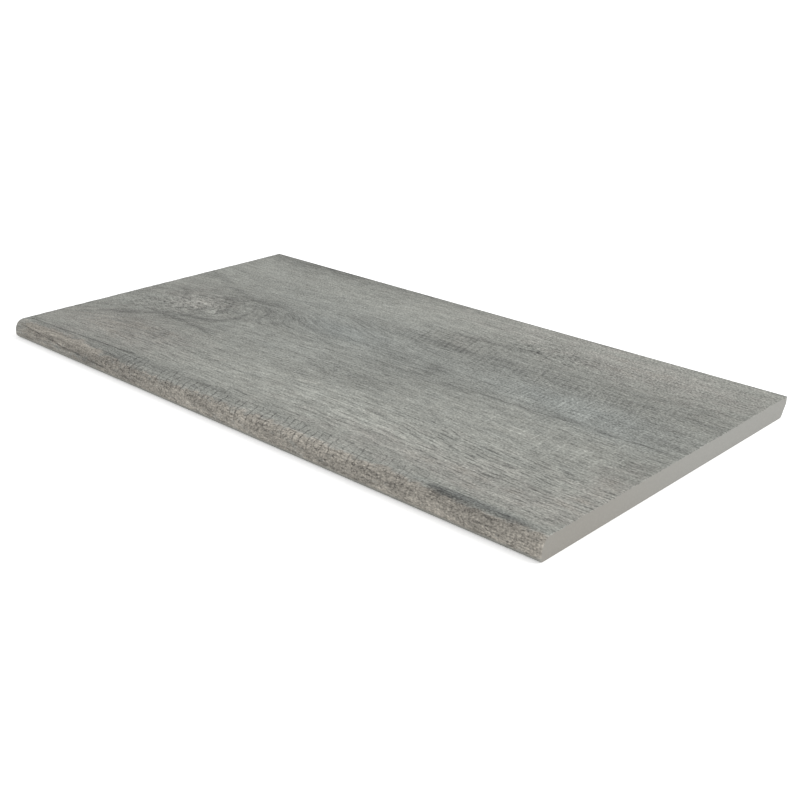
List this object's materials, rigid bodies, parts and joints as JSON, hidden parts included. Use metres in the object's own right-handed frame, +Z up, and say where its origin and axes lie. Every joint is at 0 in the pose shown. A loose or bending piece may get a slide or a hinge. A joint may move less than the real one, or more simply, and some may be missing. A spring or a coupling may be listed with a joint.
{
  "type": "pool coping tile",
  "caption": "Flat rectangular coping tile with a rounded nose along one long edge, which lines the rim of a pool over the water.",
  "frame": {"origin": "middle of the tile's plan, on the bed that it is laid on", "axes": "+X along the rim, -Y out of the rounded nose over the water, +Z up out of the walking face"},
  "size_m": [0.61, 0.33, 0.017],
  "materials": {
    "fired_tile": "matte grey weathered-wood glaze on the walking face and nose, bare pale grey body on the ends, rear edge and bed"
  },
  "bodies": {
    "root": {"coping_tile": "fired_tile"}
  },
  "joints": []
}
